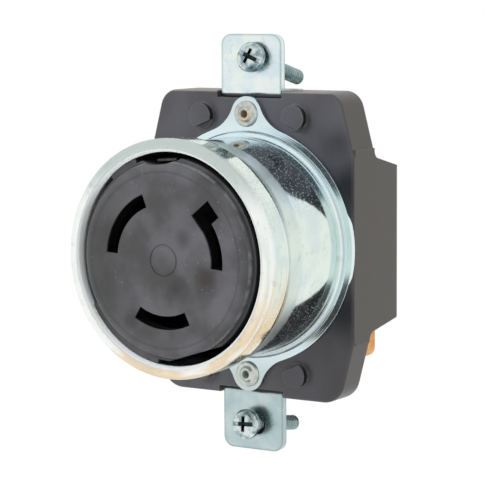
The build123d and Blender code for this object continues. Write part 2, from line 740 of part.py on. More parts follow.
def lug_seat(name):
    _, _, sx, sz = poles[name]
    x, half = sx * lug_x, lug_w / 2 + tail_gap
    return box(x - half, x + half, tail_y(sz), lug_front_y(sz) + lug_len + tail_gap,
               sz * (lug_z - lug_h / 2 - tail_gap), sz * (lug_z + lug_h / 2 + over))


def housing():
    outline, half_plane = body_outline(), Rectangle(4 * body_half_w, 2 * body_half_h)
    body = slab(outline & (Pos(0, body_half_h) * half_plane), front_y, top_back_y)
    body += slab(outline & (Pos(0, -body_half_h) * half_plane), front_y, bottom_back_y)
    rim = body.faces().filter_by(Axis.Y).sort_by(Axis.Y)[0].outer_wire().edges()
    body = fillet(rim, front_edge_r)
    body += block_solid()
    for sign in (1, -1):
        body -= box(-notch_half_w, notch_half_w, front_y - over, top_back_y + over,
                    sign * notch_z, sign * (body_half_h + over))
        body -= rod(0, sign * rivet_z, rivet_r + hole_gap, front_y - over, top_back_y + over)
        for sx in (1, -1):
            body += d_boss(sx, sign)
    hollow = RectangleRounded(2 * cavity_half_w, 2 * cavity_half_h, cavity_corner_r)
    cavity = slab(hollow, floor_y, back_y + over)
    cavity -= box(-cavity_half_w - over, -pad_gap, floor_y - over, top_back_y, pad_gap, cavity_half_h + over)
    for r, angle in tie_places:
        x, z = polar(r, angle)
        cavity -= rod(x, z, post_r, floor_y - over, post_top_y)
    body -= cavity
    body -= rod(0, 0, spigot_r + fit_gap, front_y - over, spigot_y + fit_gap)
    for pocket in pole_pockets(front_y - over, top_back_y + over):
        body -= pocket
    for name in poles:
        body -= tail_channel(name)
        body -= lug_seat(name)
    for r, angle in tie_places:
        x, z = polar(r, angle)
        body -= rod(x, z, tie_r + hole_gap, front_y - over, back_y)
    bore_y = top_back_y - ground_bore_depth
    return body - rod(ground_x, ground_z, ground_r + bore_gap, bore_y, top_back_y + over)


def rear_cover():
    """Plate in the back of the housing, with tongues that close the tail channels."""
    plate = RectangleRounded(2 * (cavity_half_w - fit_gap), 2 * (cavity_half_h - fit_gap), cavity_corner_r)
    cover = slab(plate, back_y - cover_t, back_y)
    for _, _, sx, sz in poles.values():
        half = tail_w / 2 + tail_gap - fit_gap
        x = sx * lug_x
        z_out = (block_rear_top if sz > 0 else block_rear_bottom) - tongue_short
        cover += box(x - half, x + half, tail_y(sz) + tail_t + fit_gap, back_y,
                     sz * (cavity_half_h - tongue_root), sz * z_out)
    for r, angle in tie_places:
        x, z = polar(r, angle)
        cover += rod(x, z, post_r, post_top_y, back_y - cover_boss_drop)
        cover -= rod(x, z, tie_head_r + hole_gap, tie_head_y, back_y + over)
        cover -= rod(x, z, tie_r + hole_gap, post_top_y - over, back_y + over)
    return cover


# ---------------------------------------------------------------- assembly
def build():
    parts = {
        "shell_cup": shell_cup(),
        "insulator": insulator(),
        "housing": housing(),
        "rear_cover": rear_cover(),
        "ear_top": ear(1),
        "ear_bottom": ear(-1),
        "rivet_top": rivet(1),
        "rivet_bottom": rivet(-1),
        "ground_spring": ground_spring(),
        "ground_clamp": ground_clamp(),
        "ground_screw": ground_screw(),
        "tie_screws": Compound(children=[tie_screw(r, angle) for r, angle in tie_places]),
    }
    loose = {
        "top": (top_screw_x, 1, top_screw_tilt, top_screw_out, top_drive_turn, top_washer_back),
        "bottom": (bottom_screw_x, -1, bottom_screw_tilt, bottom_screw_out, bottom_drive_turn,
                   bottom_washer_back),
    }
    for name, (x, sign, tilt, out, turn, washer_back) in loose.items():
        place = screw_place(x, sign, tilt)
        parts[f"mounting_screw_{name}"] = place * mounting_screw(out, turn)
        parts[f"retainer_washer_{name}"] = place * retainer_washer(washer_back)
    for name in poles:
        parts[f"contact_{name}"] = contact(name)
        parts[f"backup_spring_{name}"] = backup_spring(name)
        parts[f"terminal_lug_{name}"] = terminal_lug(name)
        parts[f"pressure_pad_{name}"] = pressure_pad(name)
        parts[f"set_screw_{name}"] = set_screw(name)
    return parts


os.makedirs("parts", exist_ok=True)
for node, shape in build().items():
    export_step(shape, f"parts/{node}.step")
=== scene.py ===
# %% [markdown]
# # A locking power receptacle in the studio
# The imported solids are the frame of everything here: they are exact, they sit at the world origin, and
# they already move with their bodies. This script gives them finishes and replaces the few whose real
# surface is finer than a solid needs, such as the screw threads.

import json
import math

import bmesh
import bpy
from mathutils import Matrix, Vector


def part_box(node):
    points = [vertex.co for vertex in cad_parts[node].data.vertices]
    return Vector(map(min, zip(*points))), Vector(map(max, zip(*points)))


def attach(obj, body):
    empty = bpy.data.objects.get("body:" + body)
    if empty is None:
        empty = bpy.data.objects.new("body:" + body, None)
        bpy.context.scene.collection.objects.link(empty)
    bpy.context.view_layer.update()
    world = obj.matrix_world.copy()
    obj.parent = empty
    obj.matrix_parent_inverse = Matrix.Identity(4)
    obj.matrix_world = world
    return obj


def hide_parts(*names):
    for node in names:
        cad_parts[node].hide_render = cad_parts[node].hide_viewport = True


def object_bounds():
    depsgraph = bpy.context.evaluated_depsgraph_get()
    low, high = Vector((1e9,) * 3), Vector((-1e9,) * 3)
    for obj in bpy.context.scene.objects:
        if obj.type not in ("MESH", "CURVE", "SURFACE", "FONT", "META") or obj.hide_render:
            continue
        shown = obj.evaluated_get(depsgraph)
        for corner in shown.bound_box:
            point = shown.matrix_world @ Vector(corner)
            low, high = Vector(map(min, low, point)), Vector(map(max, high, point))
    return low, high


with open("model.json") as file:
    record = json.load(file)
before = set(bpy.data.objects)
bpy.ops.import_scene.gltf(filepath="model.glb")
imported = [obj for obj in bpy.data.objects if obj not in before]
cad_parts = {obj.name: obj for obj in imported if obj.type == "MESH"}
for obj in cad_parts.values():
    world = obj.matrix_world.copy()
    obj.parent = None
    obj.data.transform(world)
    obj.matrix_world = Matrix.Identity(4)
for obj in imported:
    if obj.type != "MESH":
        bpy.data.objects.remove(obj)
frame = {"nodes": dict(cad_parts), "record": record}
solid_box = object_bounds()
nodes = frame["nodes"]
MM = 0.001
print("solids:", len(nodes), "size in mm:", [round(v / MM, 1) for v in solid_box[1] - solid_box[0]])

# %% [markdown]
# ## Places that come from the record
# The record's mounts hold the places and directions that the pieces need, so no number is measured twice.
# The housing's front plane and top edge come from the solids' own boxes.

# %% Look up the mounts
mounts = {m["name"]: m for m in frame["record"]["mounts"]}
collar_r = mounts["shell_collar"]["dims"]["r_mm"] * MM
front_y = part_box("shell_cup")[1].y
housing_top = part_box("housing")[1].z
face_y = mounts["plug_face"]["pos_m"][1]
print("collar radius", collar_r, "housing front", round(front_y, 5), "plug face", face_y)

# %% [markdown]
# ## Writing node trees as formulas
# A node tree is easier to read as a formula than as a list of links. `Signal` wraps one output socket
# and turns + - * / into Math nodes, also when the plain number stands first, as in 1 - mask.
# `Tree.node` makes every other node: its settings come first, then the values or links of its sockets.


# %% Signals and trees
class Signal:
    """An output socket that can be written in a formula."""

    def __init__(self, tree, socket):
        self.tree, self.socket = tree, socket

    def math(self, operation, *others, first=None):
        """A Math node on this signal and the others; first is a number that stands before it."""
        values = [self, *others] if first is None else [first, self]
        return self.tree.node("ShaderNodeMath", {"operation": operation}, dict(enumerate(values)))

    def __add__(self, other):
        return self.math("ADD", other)

    def __radd__(self, other):
        return self.math("ADD", first=other)

    def __sub__(self, other):
        return self.math("SUBTRACT", other)

    def __rsub__(self, other):
        return self.math("SUBTRACT", first=other)

    def __mul__(self, other):
        return self.math("MULTIPLY", other)

    def __rmul__(self, other):
        return self.math("MULTIPLY", first=other)

    def __truediv__(self, other):
        return self.math("DIVIDE", other)


class Tree:
    """A node tree that one method fills."""

    def __init__(self, node_tree):
        self.tree = node_tree

    def node(self, kind, settings=None, inputs=None, output=0):
        """A node of this type; a socket's value may be a number, a colour or another signal."""
        node = self.tree.nodes.new(kind)
        for key, value in (settings or {}).items():
            setattr(node, key, value)
        for key, value in (inputs or {}).items():
            if isinstance(value, Signal):
                self.tree.links.new(value.socket, node.inputs[key])
            else:
                node.inputs[key].default_value = value
        return Signal(self, node.outputs[output])


# %% [markdown]
# ## A finish
# Every piece gets one Principled shader. What is the same all over the surface is set on the shader's
# own sockets; what varies is fed from patterns that are laid out on Object coordinates, which are metres
# in the row frame here. A pattern's scale is written as the size of its blotches in millimetres.


# %% The finish recipe
class Finish(Tree):
    """The material of one slot, with the patterns and layers it is made of."""

    def __init__(self, slot, **fixed):
        self.slot = slot
        self.material = bpy.data.materials.new(slot + "_finish")
        self.material.use_nodes = True
        super().__init__(self.material.node_tree)
        self.tree.nodes.clear()
        self.shader = self.tree.nodes.new("ShaderNodeBsdfPrincipled")
        output = self.tree.nodes.new("ShaderNodeOutputMaterial")
        self.tree.links.new(self.shader.outputs[0], output.inputs[0])
        for socket, value in fixed.items():
            self.shader.inputs[socket.replace("_", " ")].default_value = value
        self.place = self.node("ShaderNodeTexCoord", output="Object")

    def feed(self, socket, signal):
        self.tree.links.new(signal.socket, self.shader.inputs[socket])

    def axes(self):
        """The point's x, y and z in the row frame, metres."""
        split = self.node("ShaderNodeSeparateXYZ", inputs={0: self.place})
        return split, Signal(self, split.socket.node.outputs[1]), Signal(self, split.socket.node.outputs[2])

    def noise(self, size_mm, detail=3.0, rough=0.5, stretch=(1, 1, 1), seed=0.0):
        """Cloudy pattern from 0 to 1; stretch makes its blotches longer along an axis."""
        scale = tuple(1 / (size_mm * MM * s) for s in stretch)
        spread = self.node("ShaderNodeMapping", inputs={"Vector": self.place, "Scale": scale})
        return self.node("ShaderNodeTexNoise", {"noise_dimensions": "4D"},
                         {"Vector": spread, "W": seed, "Scale": 1.0, "Detail": detail, "Roughness": rough})

    def specks(self, size_mm, spread=0.12, seed=0.0):
        """Small round dots, 1 in their middle, spread over cells of this size."""
        scale = (1 / (size_mm * MM),) * 3
        cells = self.node("ShaderNodeMapping", inputs={"Vector": self.place, "Scale": scale,
                                                       "Location": (seed, seed, seed)})
        near = self.node("ShaderNodeTexVoronoi", inputs={"Vector": cells, "Scale": 1.0}, output="Distance")
        return self.step(near, spread, 0.0)

    def step(self, signal, low, high):
        """0 below low, 1 above high, smooth between; low may be the larger one."""
        return self.node("ShaderNodeMapRange", {"interpolation_type": "SMOOTHSTEP", "clamp": True},
                         {0: signal, 1: low, 2: high, 3: 0.0, 4: 1.0})

    def blend(self, mask, first, second):
        """Colour that goes from first to second as the mask goes from 0 to 1."""
        colours = [c if isinstance(c, Signal) else (*c, 1.0) for c in (first, second)]
        inputs = {0: mask, 6: colours[0], 7: colours[1]}
        return self.node("ShaderNodeMix", {"data_type": "RGBA"}, inputs, output=2)

    def paint(self, mask, colour, ground=None):
        """Lay a colour where the mask is 1, over the ground given or over what is painted already."""
        self.colour = self.blend(mask, ground or self.colour, colour)
        self.feed("Base Color", self.colour)

    def band(self, signal, low_mm, high_mm, soft_mm):
        """1 between these two measures, fading to 0 over the soft length outside them."""
        rise = self.step(signal, (low_mm - soft_mm) * MM, low_mm * MM)
        return rise * self.step(signal, (high_mm + soft_mm) * MM, high_mm * MM)

    def reach(self, x, z, centre_mm=(0, 0)):
        """Distance from a line along y through this place of the front view."""
        dx, dz = x - centre_mm[0] * MM, z - centre_mm[1] * MM
        return (dx * dx + dz * dz).math("SQRT")

    def stain(self, x, z, where_mm, size_mm, fringe):
        """A soft round stain at this place of the front view, its rim broken up by a pattern."""
        away = self.reach(x, z, where_mm) / (size_mm * MM)
        return self.step(away + fringe * 0.7, 1.35, 0.35)

    def edges(self, width_mm):
        """1 on the outer and inner corners, where the rounded direction leaves the real one."""
        rounded = self.node("ShaderNodeBevel", {"samples": 4}, {"Radius": width_mm * MM})
        real = self.node("ShaderNodeNewGeometry", output="True Normal")
        same = self.node("ShaderNodeVectorMath", {"operation": "DOT_PRODUCT"}, {0: rounded, 1: real},
                         output="Value")
        return self.step(same, 0.985, 0.88)

    def bump(self, height, depth_mm, edge_mm=0.0):
        """Relief of this depth; edge_mm rounds the edges in the shading alone."""
        inputs = {"Height": height, "Strength": 1.0, "Distance": depth_mm * MM}
        if edge_mm:
            inputs["Normal"] = self.node("ShaderNodeBevel", {"samples": 4}, {"Radius": edge_mm * MM})
        self.feed("Normal", self.node("ShaderNodeBump", inputs=inputs))


def srgb(red, green, blue):
    """Screen values from 0 to 255, as the linear colour that a shader takes."""
    levels = [v / 255 for v in (red, green, blue)]
    return tuple(v / 12.92 if v < 0.04045 else ((v + 0.055) / 1.055) ** 2.4 for v in levels)


# %% [markdown]
# ## Bright zinc on the drawn shell
# The shell is deep-drawn steel with bright zinc over it, so it is nearly a mirror: most of what it shows is the
# white room, the housing behind it and its own flange. Its film is a cloudy green-grey, blue above the middle, with
# an amber cast on the lower part of the collar. Below the middle the shell is painted greyer, a painted darker
# reflection, and the top of the lip has a grey band of painted shade. The tints could be an image laid round the
# cylinder, but formulas of the place on the shell stay sharp at any size.
#
# All depths are given in front of the housing, on which the flange lies. The cylinder steps out to the
# collar about 22 mm ahead of it, and the collar rolls in to the lip from about 30 mm on.

# %% Zones of the shell
zinc = Finish("zinc_shell")
x, y, z = zinc.axes()
reach = zinc.reach(x, z)
front_mm, collar_mm = front_y / MM, collar_r / MM
above, below = zinc.step(z, 8 * MM, 16 * MM), zinc.step(z, -8 * MM, -16 * MM)
collar = zinc.step(y, (front_mm - 20) * MM, (front_mm - 25) * MM)
lip = zinc.step(y, (front_mm - 30.5) * MM, (front_mm - 32.5) * MM)
root = zinc.step(y, (front_mm - 3.5) * MM, (front_mm - 0.8) * MM)
inner_wall = zinc.step(reach, (collar_mm - 2.0) * MM, (collar_mm - 2.3) * MM)
print("shell zones:", len(zinc.tree.nodes), "nodes")

# %% [markdown]
# ## Tints of the zinc
# The shell's colour goes on in layers, each with its own mask: tints of the film, and the painted shade and
# reflection marked in the code. One ramp could hold all the colours, but layers stay apart and can be read and
# changed one by one. The amber and the grey streaks come from one noise that is stretched round the collar, as marks
# of turning are.

# %% Tints
clouds = zinc.noise(6, detail=4, seed=1.0)
blots = zinc.noise(2.4, detail=5, rough=0.6, seed=5.0)
streaks = zinc.noise(0.7, detail=3, stretch=(16, 1, 16), seed=4.0)
zinc.paint(zinc.step(clouds, 0.35, 0.68), srgb(210, 224, 222), srgb(224, 235, 226))
zinc.paint(lip * 0.8, srgb(250, 251, 249))
run_off = zinc.step(z - x * 0.3, -6 * MM, -22 * MM) * collar * (0.9 - 0.25 * lip)
zinc.paint(run_off * zinc.step(streaks, 0.34, 0.54), srgb(230, 198, 144))
zinc.paint(collar * zinc.step(streaks, 0.50, 0.70) * 0.2, srgb(170, 186, 178))
# Painted shade: a grey band across the top of the lip.
zinc.paint(zinc.step(z, 10 * MM, 20 * MM) * lip * 0.65, srgb(164, 182, 178))
zinc.paint(above * (1 - collar) * 0.5, srgb(206, 230, 246))
# Painted reflection: the cylinder below the middle is greyed so that what it mirrors looks darker.
zinc.paint(below * (1 - collar) * 0.75, srgb(146, 150, 150))
zinc.paint(zinc.step(blots, 0.55, 0.7) * 0.35, srgb(170, 188, 180))
print("zinc with its tints:", len(zinc.tree.nodes), "nodes")

# %% [markdown]
# ## Flange and inner wall
# The flange is paler than the cylinder, its two rivet lobes are duller, and a dark line of painted shade sits in the
# corner where the flange runs under the collar's edge as seen from the front. The hem's inner wall is painted near
# white, painted light where the deep gap would be dark. The forms are in the solid already, so thin layers of colour
# are enough and nothing is cut.

# %% Flange, lobes and crease
zinc.paint(root * 0.8, srgb(222, 238, 243))
lobes = root * zinc.step(z.math("ABSOLUTE"), 24 * MM, 31 * MM)
zinc.paint(lobes * (0.75 - 0.4 * zinc.step(z, -10 * MM, 10 * MM)), srgb(184, 196, 190))
# Painted shade: a thin dark line in the corner at the collar's edge.
crease_shade = zinc.band(reach, collar_mm - 0.55, collar_mm - 0.35, 0.15) * root
zinc.paint(crease_shade * 0.6, srgb(72, 96, 108))
# Painted light: the inner wall of the hem, deep in the gap, is painted near white.
zinc.paint(inner_wall, srgb(238, 242, 242))
print("zinc with its flange:", len(zinc.tree.nodes), "nodes")

# %% [markdown]
# ## Grains, polish and relief
# Pale dull grains lie on the cylinder's upper and lower sides. They could be scattered as tiny meshes, but
# a mask that takes the metal away costs nothing and follows every bend. The bends are a little rougher than
# the drawn wall. A very shallow relief makes the mirror image waver, fine circles are turned into the
# flange's rim, and a steeper slope rolls the shading of the lip inwards.

# %% Grains, roughness and relief
GRAIN_MM, TURNING_MM, RELIEF_MM = 0.55, 0.42, 0.03
sparks = zinc.specks(GRAIN_MM, 0.42, seed=3.0) * zinc.step(zinc.noise(1.5, seed=3.0), 0.30, 0.45)
sparks = sparks * zinc.step(z.math("ABSOLUTE"), 7 * MM, 13 * MM) * (1 - root)
# The left part of the inner wall keeps little metal, so its painted light shows as a matt lit surface.
left_wall = inner_wall * zinc.step(x, -14 * MM, -24 * MM)
zinc.feed("Metallic", 1 - 0.95 * sparks - 0.8 * left_wall)
bends = zinc.band(y, front_mm - 25.0, front_mm - 18.6, 1.5) * 0.3 + lip * 0.28
polish = 0.045 + 0.07 * clouds + 0.05 * zinc.step(blots, 0.5, 0.7)
zinc.feed("Roughness", polish + bends + 0.3 * sparks + 0.2 * inner_wall)
rings = zinc.noise(1.2, detail=2, stretch=(9, 1, 9), seed=2.0)
rim = root * zinc.step(reach, (collar_mm + 1.6) * MM, (collar_mm + 1.2) * MM)
turned = (reach * (math.tau / (TURNING_MM * MM))).math("SINE") * rim
rolled_in = inner_wall * zinc.step(y, (front_mm - 33.9) * MM, (front_mm - 31.4) * MM)
zinc.bump(clouds * 0.6 + rings * 0.25 + turned * 0.09 + rolled_in * 85, RELIEF_MM, edge_mm=0.18)
print("zinc shell:", len(zinc.tree.nodes), "nodes")

# %% [markdown]
# ## The strap of the ears
# The ears are bent from flat strip, plated in the same bath but duller: the rolled strip scatters the mirror image
# along its length. An anisotropic shader could show that, but its direction isn't among what gets baked, so noise
# that is stretched across the strip draws the fine roll marks instead. The lower ear is darker than the upper one,
# and the corners of both are painted dark as a shadow line along their border.

# %% Zinc strap
strap = Finish("zinc_strap", Metallic=1.0)
x, y, z = strap.axes()
haze = strap.noise(4, detail=4, seed=11.0)
roll = strap.noise(0.35, detail=2, stretch=(14, 14, 1), seed=12.0)
strap.paint(strap.step(haze, 0.35, 0.65), srgb(214, 230, 236), srgb(232, 240, 236))
strap.paint(strap.step(strap.noise(2.2, seed=13.0), 0.58, 0.75) * 0.4, srgb(176, 194, 196))
strap.paint(strap.step(z, 0.0, -30 * MM) * (0.45 + 0.5 * haze), srgb(160, 180, 182))
# Painted shade: a dark shadow line along the ears' edges.
strap.paint(strap.edges(0.9) * 0.7, srgb(120, 142, 142))
strap.feed("Roughness", 0.18 + 0.10 * haze + 0.06 * roll)
strap.bump(haze * 0.5 + roll * 0.2, 0.02, edge_mm=0.3)
print("zinc strap:", len(strap.tree.nodes), "nodes")

# %% [markdown]
# ## Plated and bare small parts
# Screws, rivets, springs and terminals have a film that varies between two colours in blotches, on metal that is a
# little rougher where the film is thick. Each could have its own tree, but only the colours and sizes differ, so one
# function makes them all. On the contacts, which lie deep in the dark slots, the brass is painted nearly black as
# shade.


# %% The recipe of the small metals
def plated(name, first, second, rough, blotch_mm, edge_mm, seed):
    """Metal whose film varies between two colours in blotches."""
    finish = Finish(name, Metallic=1.0)
    finish.film = finish.noise(blotch_mm, detail=4, seed=seed)
    fine = finish.noise(blotch_mm / 8, detail=2, seed=seed + 1)
    finish.paint(finish.step(finish.film, 0.38, 0.64), first, second)
    finish.feed("Roughness", rough + 0.12 * finish.film + 0.08 * fine)
    finish.bump(finish.film * 0.5 + fine * 0.3, 0.02, edge_mm=edge_mm)
    return finish


nickel = plated("terminal_steel", srgb(188, 190, 188), srgb(214, 214, 210), 0.20, 2.0, 0.15, 41.0)
spring_temper = plated("spring_steel", srgb(84, 74, 66), srgb(112, 114, 114), 0.28, 3.0, 0.0, 51.0)
brass = plated("brass", srgb(206, 144, 84), srgb(228, 176, 110), 0.24, 2.5, 0.2, 61.0)
x, y, z = brass.axes()
# Painted shade: the brass deep behind the face, on the contacts, is darkened nearly to black.
brass.paint(brass.step(y, -14 * MM, -20 * MM), srgb(34, 26, 22))
print("small metals:", [finish.slot for finish in (nickel, spring_temper, brass)])

# %% [markdown]
# ## Mounting screws
# The machine screws have a thicker film that turns the zinc teal. Their cross recess is nearly black, since no light
# comes out of it, and the roots of the thread are painted darker than its crests as shade. Further materials could
# colour them, but each solid has one slot, so masks do it. They need the place of a point on its own tilted screw,
# which the mount's axis gives.


# %% Teal screws
def along_and_out(finish, spot, axis):
    """How far each point lies along this axis from the spot, and how far out from the axis."""
    offset = [here - at for here, at in zip(finish.axes(), spot)]
    along = offset[0] * axis.x + offset[1] * axis.y + offset[2] * axis.z
    square = offset[0] * offset[0] + offset[1] * offset[1] + offset[2] * offset[2]
    return along, (square - along * along).math("SQRT")


screw_zinc = plated("zinc_screw", srgb(128, 152, 158), srgb(216, 226, 222), 0.16, 1.4, 0.12, 21.0)
x, y, z = screw_zinc.axes()
screw_zinc.paint(screw_zinc.step(y, -1.6 * MM, 0.6 * MM) * 0.8, srgb(150, 172, 172))
for side in ("top", "bottom"):
    mount, mesh = mounts[f"mounting_screw_{side}"], nodes[f"mounting_screw_{side}"].data
    axis, spot = Vector(mount["axis"]), Vector(mount["pos_m"])
    head_top = min((v.co - spot).dot(axis) for v in mesh.vertices)
    along, aside = along_and_out(screw_zinc, spot, axis)
    depth = along - head_top
    # Painted shade: the roots of the thread behind the head are darkened.
    thread_root_shade = screw_zinc.step(aside, 1.72 * MM, 1.45 * MM) * screw_zinc.step(depth, 4.5 * MM, 5.0 * MM)
    screw_zinc.paint(thread_root_shade * screw_zinc.step(aside, 4.0 * MM, 3.5 * MM) * 0.75, srgb(52, 72, 76))
    recess = screw_zinc.step(depth, 0.3 * MM, 0.5 * MM) * screw_zinc.step(depth, 2.4 * MM, 2.1 * MM)
    screw_zinc.paint(recess * screw_zinc.step(aside, 2.1 * MM, 1.8 * MM) * 0.96, srgb(20, 30, 34))
print("mounting screws:", len(screw_zinc.tree.nodes), "nodes")

# %% [markdown]
# ## Tubular rivets
# The rivets are plated tube. The upper one's bore is stained like brass, the lower one's is painted pale as painted
# light where its deep bore would be dark, and both are dull inside, so the shader treats the bores as no metal. The
# distance from a rivet's middle finds its bore, with no need to mark the mesh.

# %% Rivets
rivet_zinc = plated("rivet_steel", srgb(176, 184, 182), srgb(206, 208, 200), 0.20, 1.0, 0.12, 31.0)
x, y, z = rivet_zinc.axes()
upper, lower = ((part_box(node)[0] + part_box(node)[1]) / 2 / MM for node in ("rivet_top", "rivet_bottom"))
brassy = rivet_zinc.stain(x, z, (upper.x + 0.3, upper.z - 0.3), 1.9, rivet_zinc.film)
rivet_zinc.paint(brassy * 0.8, srgb(226, 176, 104))
bores = [rivet_zinc.step(rivet_zinc.reach(x, z, (spot.x, spot.z)), 1.1 * MM, 0.8 * MM)
         for spot in (upper, lower)]
rivet_zinc.feed("Metallic", 1 - 0.97 * (bores[0] + bores[1]))
# Painted light: the lower rivet's deep bore is painted pale.
rivet_zinc.paint(bores[1] * 0.7, srgb(222, 236, 236))
print("rivets:", len(rivet_zinc.tree.nodes), "nodes")

# %% [markdown]
# ## Mineral-filled moulding of the plug face
# The face is black phenolic with a mineral filler, painted in cloudy dark greys and smudged brown by handling. A
# large cloud carries the grey, a few soft stains sit where fingers and plugs reach, a faint dark ring of painted
# shade marks where the rim's shoulder starts, a thin light ring near the rim is a painted highlight, and tiny pale
# filler grains show through. The stains could be painted by hand on an unwrapped face, but a round mask with a noisy
# fringe needs only a place and a size. The slots and all that lies deep behind the face are painted black as shade.
# The relief is a fine orange peel.

# %% Face moulding
face = Finish("face_moulding", Specular_IOR_Level=0.5)
x, y, z = face.axes()
reach = face.reach(x, z)
fog = face.noise(9, detail=4, seed=71.0)
fringe = face.noise(3, detail=3, seed=72.0)
face.paint(face.step(fog, 0.35, 0.66), srgb(66, 66, 67), srgb(96, 96, 101))
face.paint(face.step(x, -4 * MM, -20 * MM) * 0.7, srgb(52, 53, 51))
FACE_STAINS = (((11, -3.5), 5, 0.9), ((3, -6), 5, 0.8), ((5, 5), 3, 0.6),
               ((-8, -13), 4, 0.7), ((-15, 3), 5, 0.4), ((-6, 12), 2.5, 0.6))
for place, size, strength in FACE_STAINS:
    face.paint(face.stain(x, z, place, size, fringe) * strength, srgb(46, 40, 37))
# Painted shade: a faint dark ring where the face's shoulder starts.
face.paint(face.band(reach, 18.9, 19.1, 0.3) * 0.35, srgb(46, 46, 48))
# Painted highlight: a thin light ring on the shoulder near the rim.
face.paint(face.band(reach, 21.0, 21.2, 0.12) * face.step(fringe, 0.35, 0.6) * 0.7, srgb(136, 138, 136))
dust = face.specks(1.3, 0.15, seed=7.0) * face.step(face.noise(5, seed=73.0), 0.47, 0.57)
face.paint(dust * 0.7, srgb(160, 158, 150))
# Painted shade: the slots and all that lies deep behind the face are painted near black.
deep_shade = face.step(y, face_y + 1.7 * MM, face_y + 3.0 * MM)
SLOTS_FROM_MM, SLOTS_TO_MM = 10.0, 17.6
slot_wall_shade = face.step(y, face_y + 0.1 * MM, face_y + 0.6 * MM)
slot_wall_shade = slot_wall_shade * face.band(reach, SLOTS_FROM_MM, SLOTS_TO_MM, 0.5)
face.paint(deep_shade.math("MAXIMUM", slot_wall_shade) * 0.95, srgb(12, 12, 13))
face.feed("Roughness", 0.32 + 0.16 * fog + 0.08 * fringe + 0.3 * deep_shade)
face.bump(face.noise(0.5, detail=2, seed=74.0), 0.012, edge_mm=0.25)
print("face moulding:", len(face.tree.nodes), "nodes")

# %% [markdown]
# ## Black thermoset of the housing
# The housing is glossier. Its flanks carry a brownish bloom, so the mask follows the surface's own direction, read
# from the Normal output in object space. The sides of whatever stands proud of the front, such as the bosses, are
# painted darker as shade, and corners are rubbed pale and painted light as a highlight.


# %% Housing and cover mouldings
def thermoset(name, dark, light, bloom, seed):
    """Glossy moulding, cloudy between two greys, with bloom on its flanks, painted shade on the sides of what stands
    proud, and corners rubbed pale with a painted highlight.
    """
    finish = Finish(name)
    finish.cloud = finish.noise(14, detail=3, stretch=(1, 1, 1.6), seed=seed)
    fine = finish.noise(0.6, detail=2, seed=seed + 1)
    facing = finish.node("ShaderNodeTexCoord", output="Normal")
    side = finish.node("ShaderNodeSeparateXYZ", inputs={0: facing})
    flank = finish.step(side.math("ABSOLUTE"), 0.5, 0.95)
    finish.paint(finish.step(finish.cloud, 0.36, 0.66), light, dark)
    x, y, z = finish.axes()
    proud = finish.step(y, front_y, front_y - 0.3 * MM)
    finish.paint(flank * (1 - proud) * (0.5 + 0.5 * finish.cloud), bloom)
    # Painted shade: the sides of the bosses and of all else that stands proud are darkened.
    finish.paint(flank * proud, srgb(26, 26, 30))
    # Corners rubbed pale, with a painted highlight along the edges.
    finish.paint(finish.edges(0.6) * finish.step(fine, 0.35, 0.6) * 0.5, srgb(134, 130, 124))
    finish.feed("Roughness", 0.24 + 0.16 * finish.cloud + 0.08 * fine)
    finish.bump(fine + finish.cloud * 0.5, 0.012, edge_mm=0.25)
    return finish


cover_black = thermoset("cover_moulding", srgb(44, 43, 45), srgb(56, 55, 56), srgb(66, 62, 56), 85.0)
print("cover moulding:", len(cover_black.tree.nodes), "nodes")

# %% [markdown]
# ## Marks on the housing's front
# Soft dark patches beside the flange on the right are painted shadow of the shell and painted dark reflection, and a
# pale patch at the foot is painted light that lifts the shaded bottom; both are made like the face's stains. The top
# edge carries a light line, a painted highlight, whose place comes from the housing's own box.

# %% Housing front
housing_black = thermoset("body_moulding", srgb(69, 67, 71), srgb(85, 85, 91), srgb(74, 68, 58), 81.0)
x, y, z = housing_black.axes()
fore = housing_black.step(y, front_y + 0.6 * MM, front_y + 0.1 * MM)
# Painted shadow of the shell and painted dark reflection on the front, right of the flange.
FRONT_SHADE = (((25, 13), 11, 1.0), ((26, -14), 10, 0.8), ((23, 24), 6, 0.6))
for place, size, strength in FRONT_SHADE:
    shade = housing_black.stain(x, z, place, size, housing_black.cloud)
    housing_black.paint(shade * fore * strength, srgb(18, 22, 28))
# Painted light: a pale patch lifts the shaded foot of the front.
pale = housing_black.stain(x, z, (4, -35), 12, housing_black.cloud)
housing_black.paint(pale * 0.6, srgb(104, 102, 106))
# Painted highlight: a light line along the top edge of the front.
top_edge_highlight = housing_black.step(z, housing_top - 0.45 * MM, housing_top - 0.1 * MM)
top_edge_highlight = top_edge_highlight * housing_black.step(y, front_y + 1.0 * MM, front_y - 0.1 * MM)
housing_black.paint(top_edge_highlight * 0.7, srgb(186, 172, 150))
print("housing moulding:", len(housing_black.tree.nodes), "nodes")

# %% [markdown]
# ## Green lacquer and red fibre
# The earthing screw is lacquered green, thicker in some places than in others, and a coat over the colour
# gives it a second, sharper shine. The retaining washers are red vulcanised fibre, whose layers show as
# thin streaks: noise stretched in two directions is enough for those.

# %% Lacquer and fibre
lacquer = Finish("ground_green", Coat_Weight=0.4)
wear = lacquer.noise(1.4, detail=4, seed=91.0)
lacquer.paint(lacquer.step(wear, 0.4, 0.62), srgb(46, 128, 74), srgb(34, 104, 58))
lacquer.feed("Roughness", 0.28 + 0.2 * wear)
lacquer.bump(wear, 0.02, edge_mm=0.15)
fibre = Finish("fibre")
layers = fibre.noise(0.5, detail=3, stretch=(8, 1, 8), seed=95.0)
fibre.paint(layers, srgb(140, 72, 50), srgb(104, 44, 30))
fibre.feed("Roughness", 0.6 + 0.2 * layers)
fibre.bump(layers, 0.03)
print("lacquer and fibre:", len(lacquer.tree.nodes), "and", len(fibre.tree.nodes), "nodes")

